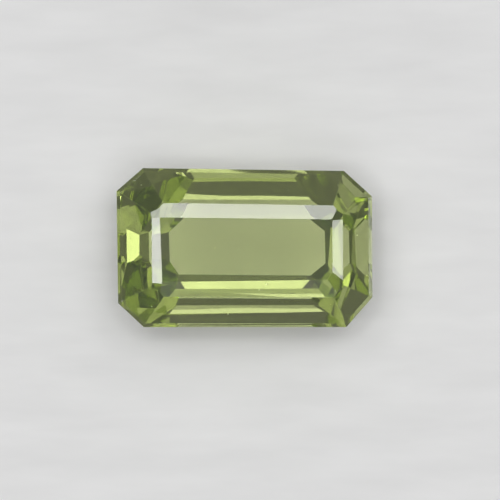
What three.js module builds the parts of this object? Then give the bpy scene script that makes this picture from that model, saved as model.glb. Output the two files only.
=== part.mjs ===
// A loose green sapphire in a step cut, also called an emerald cut: a long octagon with cut corners.
// Millimetres, +Z up. The stone stands on its flat culet with the table up, its long side along X,
// and the origin is on the resting plane under the middle of the outline.
import * as THREE from "three";
import { ConvexGeometry } from "three/addons/geometries/ConvexGeometry.js";

const LENGTH = 6.0;
const WIDTH = 3.71;

// Heights above the culet, which is the flat underside.
const GIRDLE_FOOT = 2.53;
const GIRDLE_TOP = 2.55;
const BEZEL_TOP = 2.63;
const TABLE_HEIGHT = 2.94;
const BEZEL_STEP = 0.085; // how far the bezel leans in from the outline

// The stone is cut by hand, so its eight sides differ a little. A flat is set by the compass direction that
// it faces, its lean from level, both in degrees, and one length. For the flats next to the culet and the
// table that is the reach of their edge there, from the middle axis. The middle flats of the pavilion have
// no level edge of their own, and are set by their distance from the centre of the girdle. The two flats
// beside the girdle follow the outline, so their lean alone places them.
const sides = [
  {
    name: "east", faces: 0.2, reach: LENGTH / 2,
    culetFlat: [1.3, 55.2, 1.9], middleFlat: [-0.6, 65, 2.82], girdleLean: 67.6,
    crownLean: 25.4, tableFlat: [-0.2, 5, 2.06],
  },
  {
    name: "north-east corner", faces: 47.6, reach: 2.92,
    culetFlat: [51.1, 53.3, 1.51], middleFlat: [50.7, 56, 2.68], girdleLean: 68.4,
    crownLean: 22.4, tableFlat: [26.1, 5.3, 2.14],
  },
  {
    name: "north", faces: 89.2, reach: WIDTH / 2,
    culetFlat: [89.9, 26.5, 0.69], middleFlat: [90, 72.8, 1.88], girdleLean: 80,
    crownLean: 21.1, tableFlat: [89.4, 4.6, 0.7],
  },
  {
    name: "north-west corner", faces: 131.1, reach: 3,
    culetFlat: [133.9, 52.1, 1.52], middleFlat: [136.8, 58.7, 2.69], girdleLean: 62,
    crownLean: 18.3, tableFlat: [147.3, 8.4, 2.07],
  },
  {
    name: "west", faces: 180.8, reach: LENGTH / 2,
    culetFlat: [181.2, 34.9, 1.78], middleFlat: [180.3, 57.5, 2.99], girdleLean: 72.7,
    crownLean: 21.3, tableFlat: [182.2, 6.9, 1.97],
  },
  {
    name: "south-west corner", faces: 226.9, reach: 2.98,
    culetFlat: [214.5, 53, 1.63], middleFlat: [221.1, 59.3, 2.65], girdleLean: 61,
    crownLean: 20.5, tableFlat: [206, 8, 2.11],
  },
  {
    name: "south", faces: 270, reach: WIDTH / 2,
    culetFlat: [269.6, 55.2, 0.62], middleFlat: [269.8, 64.4, 1.72], girdleLean: 66.1,
    crownLean: 24.4, tableFlat: [270.7, 4.4, 0.77],
  },
  {
    name: "south-east corner", faces: 318.9, reach: 3.02,
    culetFlat: [309.1, 44.4, 1.47], middleFlat: [312.5, 59.9, 2.67], girdleLean: 64,
    crownLean: 24.8, tableFlat: [329.8, 4, 2.06],
  },
];

const UP = 1;
const DOWN = -1;
const UPRIGHT = 90;

// The level direction that a compass angle points in, with east along +X and north along +Y.
function compass(faces) {
  const angle = THREE.MathUtils.degToRad(faces);
  return new THREE.Vector3(Math.cos(angle), Math.sin(angle), 0);
}

// The outward direction of a flat with a compass direction and a lean from level.
function outward(faces, lean, vertical) {
  const tip = THREE.MathUtils.degToRad(lean);
  return compass(faces).multiplyScalar(Math.sin(tip)).setZ(vertical * Math.cos(tip));
}

// A flat placed by its level edge, which has a reach from the middle axis and a height.
function flatAtEdge(faces, lean, vertical, reach, height) {
  const point = compass(faces).multiplyScalar(reach).setZ(height);
  return new THREE.Plane().setFromNormalAndCoplanarPoint(outward(faces, lean, vertical), point);
}

// A flat placed by its distance from the centre of the girdle.
function flatAtDistance(faces, lean, vertical, distance) {
  const normal = outward(faces, lean, vertical);
  const point = normal.clone().multiplyScalar(distance).add(new THREE.Vector3(0, 0, GIRDLE_FOOT));
  return new THREE.Plane().setFromNormalAndCoplanarPoint(normal, point);
}

const BEZEL_LEAN = THREE.MathUtils.radToDeg(Math.atan2(BEZEL_TOP - GIRDLE_TOP, BEZEL_STEP));

// The flats of one side, from the culet up to the table.
function flatsOf({ faces, reach, culetFlat, middleFlat, girdleLean, crownLean, tableFlat }) {
  const [culetFaces, culetLean, culetReach] = culetFlat;
  const [middleFaces, middleLean, middleDistance] = middleFlat;
  const [tableFaces, tableLean, tableReach] = tableFlat;
  return [
    flatAtEdge(culetFaces, culetLean, DOWN, culetReach, 0),
    flatAtDistance(middleFaces, middleLean, DOWN, middleDistance),
    flatAtEdge(faces, girdleLean, DOWN, reach, GIRDLE_FOOT),
    flatAtEdge(faces, UPRIGHT, UP, reach, GIRDLE_TOP),
    flatAtEdge(faces, BEZEL_LEAN, UP, reach, GIRDLE_TOP),
    flatAtEdge(faces, crownLean, UP, reach - BEZEL_STEP, BEZEL_TOP),
    flatAtEdge(tableFaces, tableLean, UP, tableReach, TABLE_HEIGHT),
  ];
}

const PARALLEL = 1e-6;
const OUTSIDE = 1e-7;
const SAME_POINT = 0.002;

// Where three planes meet, or null where they don't meet in one point.
function meeting(a, b, c) {
  const rows = new THREE.Matrix3().set(
    a.normal.x, a.normal.y, a.normal.z,
    b.normal.x, b.normal.y, b.normal.z,
    c.normal.x, c.normal.y, c.normal.z,
  );
  if (Math.abs(rows.determinant()) < PARALLEL) return null;
  return new THREE.Vector3(-a.constant, -b.constant, -c.constant).applyMatrix3(rows.invert());
}

// The corner points of the body that lies behind all the planes.
function cornersOf(planes) {
  const corners = [];
  planes.forEach((a, i) => planes.slice(i + 1).forEach((b, j) => planes.slice(i + j + 2).forEach((c) => {
    const point = meeting(a, b, c);
    if (!point || planes.some((plane) => plane.distanceToPoint(point) > OUTSIDE)) return;
    if (!corners.some((corner) => corner.distanceTo(point) < SAME_POINT)) corners.push(point);
  })));
  return corners;
}

function cutStone() {
  const culet = new THREE.Plane(new THREE.Vector3(0, 0, DOWN), 0);
  const table = new THREE.Plane(new THREE.Vector3(0, 0, UP), -TABLE_HEIGHT);
  const geometry = new ConvexGeometry(cornersOf([culet, table, ...sides.flatMap(flatsOf)]));
  const material = new THREE.MeshStandardMaterial({ color: 0x8d9a5c, roughness: 0.05, metalness: 0 });
  const stone = new THREE.Mesh(geometry, material);
  stone.name = "sapphire";
  return stone;
}

const model = new THREE.Group();
model.add(cutStone());

export default model;
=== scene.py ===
# %% [markdown]
# # A step-cut green sapphire
# This file dresses a loose green sapphire of the step cut, the long octagon that jewellers also call an
# emerald cut. The stone is one clear crystal, so there is one piece to make. What makes it look real is
# light: it bends on the way in, is thrown about by the facets under the girdle, and comes back out
# greener. The file therefore keeps the shape exact, gives the crystal real optical values, and then
# places soft light around it.
#
# The first cell reads the measured model, which fixes every size. All lengths below are in metres.

# %% Read the model
import math

import bmesh
import bpy
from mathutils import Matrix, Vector


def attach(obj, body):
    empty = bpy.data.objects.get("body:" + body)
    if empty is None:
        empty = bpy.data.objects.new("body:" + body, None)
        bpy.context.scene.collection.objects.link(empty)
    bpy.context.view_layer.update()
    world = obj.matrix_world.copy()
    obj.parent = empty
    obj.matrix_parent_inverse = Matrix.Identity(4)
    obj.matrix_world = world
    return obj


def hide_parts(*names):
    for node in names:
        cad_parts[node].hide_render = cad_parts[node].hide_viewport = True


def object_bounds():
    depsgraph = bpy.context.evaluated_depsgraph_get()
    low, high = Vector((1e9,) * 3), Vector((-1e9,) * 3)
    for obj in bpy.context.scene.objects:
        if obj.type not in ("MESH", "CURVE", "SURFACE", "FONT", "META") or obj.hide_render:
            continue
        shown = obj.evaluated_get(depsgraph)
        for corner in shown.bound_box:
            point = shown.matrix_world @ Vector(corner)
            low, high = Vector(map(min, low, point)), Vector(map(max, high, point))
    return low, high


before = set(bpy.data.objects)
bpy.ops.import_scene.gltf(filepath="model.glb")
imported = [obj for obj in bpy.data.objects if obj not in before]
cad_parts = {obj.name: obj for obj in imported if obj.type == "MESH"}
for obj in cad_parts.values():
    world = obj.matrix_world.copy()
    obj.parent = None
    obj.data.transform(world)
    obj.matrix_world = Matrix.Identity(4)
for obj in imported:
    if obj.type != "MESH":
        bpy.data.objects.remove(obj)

MM = 0.001
STONE = "sapphire"
scene = bpy.context.scene
cad_low, cad_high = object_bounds()
size = cad_high - cad_low
print("stone in mm:", [round(side / MM, 3) for side in size])

# %% [markdown]
# ## The camera
# The photograph looks down on the table of the stone from far enough away that all the facets keep their
# true outline, and a long lens does the same here. The stone's length in the picture gives the size of
# one pixel, and its middle says where the lens points. The view isn't quite upright. Its small tilt can't
# be measured by itself. It was searched for by a program, together with the angles of the cut.

# %% Place the camera
PICTURE = 500  # pixels each way
STONE_PIXELS = 255.8  # the stone's length in the picture
STONE_MIDDLE = (244.8, 248.3)  # pixels from the left and from the top
CAMERA_DISTANCE = 380 * MM
VIEW_TILT = (0.1, 0.44)  # degrees that the line of sight leans to the right and to the top
GIRDLE_SHARE = 0.87  # the girdle's height as a share of the stone's
NEAREST = 10 * MM  # what the camera can see begins and ends here
FARTHEST = 3000 * MM

pixel = size.x / STONE_PIXELS
aim = Vector((
    (PICTURE / 2 - STONE_MIDDLE[0]) * pixel,
    (STONE_MIDDLE[1] - PICTURE / 2) * pixel,
    size.z * GIRDLE_SHARE,
))
sight = Vector((math.tan(math.radians(VIEW_TILT[0])), math.tan(math.radians(VIEW_TILT[1])), -1)).normalized()
camera = bpy.data.objects.new("camera", bpy.data.cameras.new("camera"))
scene.collection.objects.link(camera)
camera.data.lens = camera.data.sensor_width * CAMERA_DISTANCE / (pixel * PICTURE)
camera.location = aim - sight * CAMERA_DISTANCE
camera.rotation_mode = "QUATERNION"
camera.rotation_quaternion = Vector((0, 0, -1)).rotation_difference(sight)
camera.data.clip_start = NEAREST
camera.data.clip_end = FARTHEST
scene.camera = camera
print("one pixel is", round(pixel / MM, 5), "mm and the lens is", round(camera.data.lens), "mm")

# %% [markdown]
# ## A helper for node trees
# Materials and geometry trees are both made of nodes with named sockets. This helper adds a node, sets
# the sockets that it is given a number for, and links the ones that it is given another node's output
# for, so that each tree below reads from top to bottom.


# %% Add a node and feed its sockets
def add_node(tree, kind, settings=(), **feeds):
    """Adds a node. settings are its own options; feeds are its inputs, with _ for a space in a name."""
    node = tree.nodes.new(kind)
    for option, value in dict(settings).items():
        setattr(node, option, value)
    for name, value in feeds.items():
        socket = node.inputs[name.replace("_", " ")]
        if isinstance(value, bpy.types.NodeSocket):
            tree.links.new(value, socket)
        else:
            socket.default_value = value
    return node


def new_material(name):
    """Gives an empty material tree and its output node."""
    material = bpy.data.materials.new(name)
    material.use_nodes = True
    material.node_tree.nodes.clear()
    return material, material.node_tree, add_node(material.node_tree, "ShaderNodeOutputMaterial")


# %% [markdown]
# ## The floor
# The stone lies on a smooth pale sheet. One large square does for it. Its tone has faint long streaks, as
# pressed paper or felt has, and they also give the clear middle of the stone its slight unevenness,
# because the sheet shows through there. The sheet sits a few thousandths of a millimetre under the
# stone, since two faces in exactly the same plane would flicker where the light leaves the flat underside.

# %% Lay the sheet
FLOOR_HALF = 500 * MM
FLOOR_GAP = 0.004 * MM
SHEET_COLOR = (0.83, 0.83, 0.83, 1)
SHEET_ROUGHNESS = 0.7
STREAKS_PER_METRE = (350, 1500, 1)  # fewer along X than along Y, so they are long from left to right
STREAK_TONE = (0.92, 1.08)  # the darkest and the palest, as a share of the sheet's colour
COLOR_A, COLOR_B, COLOR_RESULT = 6, 7, 2  # the mix node's colour sockets, which share names with others

corners = [(x * FLOOR_HALF, y * FLOOR_HALF, -FLOOR_GAP) for x, y in ((-1, -1), (1, -1), (1, 1), (-1, 1))]
floor_mesh = bpy.data.meshes.new("floor")
floor_mesh.from_pydata(corners, [], [(0, 1, 2, 3)])
floor = bpy.data.objects.new("floor", floor_mesh)
scene.collection.objects.link(floor)

sheet, tree, output = new_material("pale sheet")
place = add_node(tree, "ShaderNodeTexCoord")
drift = add_node(tree, "ShaderNodeMapping", Vector=place.outputs["Object"], Scale=STREAKS_PER_METRE)
streaks = add_node(tree, "ShaderNodeTexNoise", Vector=drift.outputs[0], Scale=1, Detail=3)
tone = add_node(
    tree, "ShaderNodeMapRange", Value=streaks.outputs["Fac"], To_Min=STREAK_TONE[0], To_Max=STREAK_TONE[1]
)
paint = add_node(tree, "ShaderNodeMix", {"data_type": "RGBA", "blend_type": "MULTIPLY"}, Factor=1)
paint.inputs[COLOR_A].default_value = SHEET_COLOR
tree.links.new(tone.outputs[0], paint.inputs[COLOR_B])
skin = add_node(
    tree, "ShaderNodeBsdfPrincipled", Base_Color=paint.outputs[COLOR_RESULT], Roughness=SHEET_ROUGHNESS
)
tree.links.new(skin.outputs[0], output.inputs["Surface"])
floor.data.materials.append(sheet)
print("floor", FLOOR_HALF * 2 / MM, "mm square")

# %% [markdown]
# ## Soft studio light
# A polished facet is a mirror, so it shows either a lamp or the dark between lamps, and every patch of a
# cut stone shows a direction of its own. The photograph's stone has pale strips on its upper, left and
# right inner facets. Those facets are nearly level, so the lamps that they show hang close round the
# camera, with a dimmer one over it. The bright lens on the left and the bright line under the clear
# middle come from lamps near the level of the table, on the right and in front, seen through several
# facets. Lamps higher up behind draw the light lines along the upper side and near the lower one. The
# rest of the light comes down steeply from all round, most of it from behind, which leaves the soft
# shadow on the near side. Most of it hangs where no facet mirrors it to the camera, so it can be bright.
#
# Each panel below is an area lamp that faces the stone. It is given as the stone sees it: its compass
# direction with zero to the right, its angle from straight up, and how many degrees it spans. The list
# began as a program's answer to the question which strengths give the facets their tones. It was then
# shortened and changed, one render after another.

# %% Hang the panels
PANEL_DISTANCE = 400 * MM


def span(degrees):
    """The length of something at the panels' distance that spans so many degrees."""
    return 2 * PANEL_DISTANCE * math.tan(math.radians(degrees) / 2)


def hang_panel(name, azimuth, slant, width, height, brightness):
    """An area lamp facing the stone, all angles in degrees. brightness is 1 for white on the picture."""
    lamp = bpy.data.lights.new(name, "AREA")
    lamp.shape = "RECTANGLE"
    lamp.size, lamp.size_y = span(width), span(height)
    lamp.energy = brightness * math.pi * lamp.size * lamp.size_y
    panel = bpy.data.objects.new(name, lamp)
    turn, lean = math.radians(azimuth), math.radians(slant)
    out = Vector((math.cos(turn) * math.sin(lean), math.sin(turn) * math.sin(lean), math.cos(lean)))
    panel.location = out * PANEL_DISTANCE
    panel.rotation_euler = out.to_track_quat("Z", "Y").to_euler()
    panel.visible_camera = False
    scene.collection.objects.link(panel)


for name, azimuth, slant, width, height, brightness in (
    ("overhead", 90, 0.5, 6, 6, 0.2),
    ("behind", 90, 9, 8, 8, 5.2),
    ("behind upper", 90, 20.5, 16, 13, 1.0),
    ("behind high", 90, 37.5, 27, 7, 1.0),
    ("behind low", 90, 59, 39, 12, 0.42),
    ("behind left", 135, 8, 7, 6, 20),
    ("behind left high", 135, 20, 18, 9, 4.5),
    ("behind right", 52, 7, 6, 5, 18),
    ("behind right upper", 45, 15, 11, 6, 5),
    ("behind right high", 45, 21, 18, 7, 4.5),
    ("behind right wide", 45, 36, 27, 10, 1.2),
    ("left", 180, 13, 10, 8, 7.0),
    ("left high", 180, 27, 21, 8, 1.0),
    ("left low", 180, 77, 44, 12, 0.35),
    ("right", 0, 9, 7, 8, 4.8),
    ("right high", 0, 20, 16, 8, 2.0),
    ("right low", 0, 86, 45, 6, 1.8),
    ("front left", 225, 8, 7, 6, 16),
    ("front right", 302, 7, 6, 5, 12),
    ("front right upper", 315, 14, 11, 6, 6),
    ("front close", 270, 8, 7, 6, 0.5),
    ("front", 270, 21, 17, 8, 3.0),
    ("front low", 270, 72, 43, 15, 1.8),
):
    hang_panel(name, azimuth, slant, width, height, brightness)

ROOM_LIGHT = 0.13
world = bpy.data.worlds.new("room")
scene.world = world
world.use_nodes = True
world.node_tree.nodes["Background"].inputs["Color"].default_value = (1, 1, 1, 1)
world.node_tree.nodes["Background"].inputs["Strength"].default_value = ROOM_LIGHT
scene.view_settings.view_transform = "Standard"

# %% [markdown]
# ## The cut
# A step cut is made in rings. The cutter grinds eight flat facets to a ring, one ring after another,
# until the table closes the top and the culet the bottom. In an even stone the facets of a ring share
# one angle. In this model each has its own, and under the girdle two opposite ones differ by up to 29
# degrees, because a program searched for angles whose reflections fit the photograph. Such a stone is
# convex, so its corner points alone say everything about it, and the skin stretched over them is the
# stone. That is what the tree below does with the model's corner points. It then marks the upright band
# round the middle, the girdle, because that is ground and not polished.

# %% Stretch the skin over the corner points
WELD = 0.0002 * MM
UPRIGHT = 0.08  # a facet is part of the girdle when its normal rises less than this

skin_tree = bpy.data.node_groups.new("cut stone", "GeometryNodeTree")
for name, kind in (
    ("Corner Points", "NodeSocketGeometry"),
    ("Weld Distance", "NodeSocketFloat"),
    ("Upright Limit", "NodeSocketFloat"),
    ("Polish", "NodeSocketMaterial"),
    ("Girdle Finish", "NodeSocketMaterial"),
):
    skin_tree.interface.new_socket(name, in_out="INPUT", socket_type=kind)
skin_tree.interface.new_socket("Stone", in_out="OUTPUT", socket_type="NodeSocketGeometry")
given = add_node(skin_tree, "NodeGroupInput").outputs
welded = add_node(
    skin_tree, "GeometryNodeMergeByDistance", Geometry=given["Corner Points"], Distance=given["Weld Distance"]
)
hull = add_node(skin_tree, "GeometryNodeConvexHull", Geometry=welded.outputs[0])
facing = add_node(skin_tree, "GeometryNodeInputNormal")
parts = add_node(skin_tree, "ShaderNodeSeparateXYZ", Vector=facing.outputs[0])
rise = add_node(skin_tree, "ShaderNodeMath", {"operation": "ABSOLUTE"}, Value=parts.outputs["Z"])
upright = add_node(skin_tree, "FunctionNodeCompare", {"data_type": "FLOAT", "operation": "LESS_THAN"})
skin_tree.links.new(rise.outputs[0], upright.inputs[0])
skin_tree.links.new(given["Upright Limit"], upright.inputs[1])
real = add_node(skin_tree, "GeometryNodeRealizeInstances", Geometry=hull.outputs[0])
polished = add_node(
    skin_tree, "GeometryNodeSetMaterial", Geometry=real.outputs[0], Material=given["Polish"]
)
finished = add_node(
    skin_tree,
    "GeometryNodeSetMaterial",
    Geometry=polished.outputs[0],
    Selection=upright.outputs[0],
    Material=given["Girdle Finish"],
)
add_node(skin_tree, "NodeGroupOutput", Stone=finished.outputs[0])
print("nodes in the tree of the cut:", len(skin_tree.nodes))

# %% [markdown]
# ## The crystal
# Sapphire bends light strongly: its index is 1.77, and any ray that meets a facet from inside at more
# than 34.5 degrees from the normal is thrown back. Its colour isn't on the surface. The light loses red
# and blue along its whole way through the stone, so long paths are a deeper green than short ones, and a
# volume that absorbs does exactly that.
#
# The facets of a hand-cut stone aren't dead flat. The polishing lap leaves soft waves, a few thousandths
# of a millimetre high, and they bend the straight edges of the reflections. Bump nodes give those waves.
# A faint bloom of dust and fine scratches lifts the darkest facets a little, and a few crumbs of dust
# show as matt specks.

# %% Make the crystal material
IOR = 1.765
LOSS_PER_MM = Vector((0.060, 0.040, 0.185))  # how strongly red, green and blue are absorbed
CLARITY = 0.972  # the rest is the pale bloom of dust and fine scratches on the facets
WAVE_LENGTH = 1.3 * MM
GRAIN_LENGTH = 0.03 * MM
DUST_SPACING = 0.4 * MM
DUST_RADIUS = 0.02 * MM
DUST_CORE = 0.5  # the share of a crumb's radius that is fully matt
DUST_ROUGHNESS = 0.4
WAVE_HEIGHT = 0.003 * MM
GRAIN_HEIGHT = 0.004 * MM


def crystal(name, roughness, grain_height):
    """A clear absorbing crystal. roughness is its least and most."""
    material, tree, output = new_material(name)
    place = add_node(tree, "ShaderNodeTexCoord")
    patches = add_node(
        tree, "ShaderNodeTexNoise", Vector=place.outputs["Object"], Scale=1 / WAVE_LENGTH, Detail=2
    )
    matt = add_node(
        tree, "ShaderNodeMapRange", Value=patches.outputs["Fac"], To_Min=roughness[0], To_Max=roughness[1]
    )
    crumbs = add_node(tree, "ShaderNodeTexVoronoi", Vector=place.outputs["Object"], Scale=1 / DUST_SPACING)
    dust = add_node(
        tree, "ShaderNodeMapRange", Value=crumbs.outputs["Distance"],
        From_Min=DUST_RADIUS / DUST_SPACING, From_Max=DUST_CORE * DUST_RADIUS / DUST_SPACING,
        To_Min=0, To_Max=DUST_ROUGHNESS,
    )
    finish = add_node(tree, "ShaderNodeMath", {"operation": "ADD"})
    tree.links.new(matt.outputs[0], finish.inputs[0])
    tree.links.new(dust.outputs[0], finish.inputs[1])
    waves = add_node(
        tree, "ShaderNodeTexNoise", Vector=place.outputs["Object"], Scale=1 / WAVE_LENGTH, Detail=0
    )
    grain = add_node(
        tree, "ShaderNodeTexNoise", Vector=place.outputs["Object"], Scale=1 / GRAIN_LENGTH, Detail=1
    )
    swell = add_node(
        tree, "ShaderNodeBump", Height=waves.outputs["Fac"], Strength=1, Distance=WAVE_HEIGHT
    )
    relief = add_node(
        tree, "ShaderNodeBump", Height=grain.outputs["Fac"], Strength=1, Distance=grain_height,
        Normal=swell.outputs[0],
    )
    glass = add_node(
        tree,
        "ShaderNodeBsdfPrincipled",
        Base_Color=(1, 1, 1, 1),
        Roughness=finish.outputs[0],
        IOR=IOR,
        Transmission_Weight=CLARITY,
        Normal=relief.outputs[0],
    )
    density = max(LOSS_PER_MM) / MM
    kept = [1 - loss / MM / density for loss in LOSS_PER_MM]
    body = add_node(tree, "ShaderNodeVolumeAbsorption", Color=(*kept, 1), Density=density)
    tree.links.new(glass.outputs[0], output.inputs["Surface"])
    tree.links.new(body.outputs[0], output.inputs["Volume"])
    return material


polish = crystal("polished sapphire", roughness=(0.0, 0.02), grain_height=0)
ground = crystal("ground girdle", roughness=(0.35, 0.5), grain_height=GRAIN_HEIGHT)
print("a facet throws light back inside from", round(math.degrees(math.asin(1 / IOR)), 1), "degrees")

# %% Run the tree and keep its result as a plain mesh
cad_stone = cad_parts[STONE]
blank = bpy.data.objects.new("blank", cad_stone.data.copy())
scene.collection.objects.link(blank)
cutting = blank.modifiers.new("cut stone", "NODES")
cutting.node_group = skin_tree
sockets = {item.name: item.identifier for item in skin_tree.interface.items_tree if item.in_out == "INPUT"}
cutting[sockets["Weld Distance"]] = WELD
cutting[sockets["Upright Limit"]] = UPRIGHT
cutting[sockets["Polish"]] = polish
cutting[sockets["Girdle Finish"]] = ground
stone_mesh = bpy.data.meshes.new_from_object(blank.evaluated_get(bpy.context.evaluated_depsgraph_get()))
bpy.data.objects.remove(blank)
print("skin:", len(stone_mesh.vertices), "corner points and", len(stone_mesh.polygons), "faces")

# %% [markdown]
# ## Worn edges
# No real facet edge is perfectly sharp. The last polish rounds each one by a few thousandths of a
# millimetre, and that sliver catches light of its own. Faces in one plane are first joined into whole
# facets, then a very small bevel turns every edge. The mesh is worked on in millimetres and is then put
# back to metres.

# %% Round every edge a little
EDGE_RADIUS = 0.004 * MM
EDGE_STEPS = 2
EDGE_PROFILE = 0.5  # a half gives a round edge
SAME_PLANE = math.radians(0.5)  # faces that lie within this angle are one facet

cut = bmesh.new()
cut.from_mesh(stone_mesh)
bmesh.ops.scale(cut, vec=Vector((1, 1, 1)) / MM, verts=cut.verts)
bmesh.ops.dissolve_limit(cut, angle_limit=SAME_PLANE, verts=cut.verts, edges=cut.edges)
print("whole facets:", len(cut.faces))
bmesh.ops.bevel(
    cut, geom=list(cut.edges), offset=EDGE_RADIUS / MM, offset_type="OFFSET", segments=EDGE_STEPS,
    profile=EDGE_PROFILE, affect="EDGES", clamp_overlap=True,
)
bmesh.ops.scale(cut, vec=Vector((1, 1, 1)) * MM, verts=cut.verts)
bmesh.ops.recalc_face_normals(cut, faces=cut.faces)
cut.to_mesh(stone_mesh)
cut.free()
stone = bpy.data.objects.new("step_cut_sapphire", stone_mesh)
scene.collection.objects.link(stone)
print("finished skin:", len(stone_mesh.polygons), "faces")

# %% [markdown]
# ## Light paths
# A ray can be thrown back by eight or more facets before it leaves a cut stone. The limits on bounces are
# raised so that these long paths aren't cut short, which would leave false black patches.

# %% Allow long paths inside the stone
BOUNCES = 24
scene.cycles.max_bounces = BOUNCES
scene.cycles.glossy_bounces = BOUNCES
scene.cycles.transmission_bounces = BOUNCES
print("bounces allowed:", BOUNCES)

# %% [markdown]
# ## Hand over
# The dressed stone stands for the model's plain one, and rides on the same body.

# %% Hand the piece over
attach(stone, "root")
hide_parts(STONE)
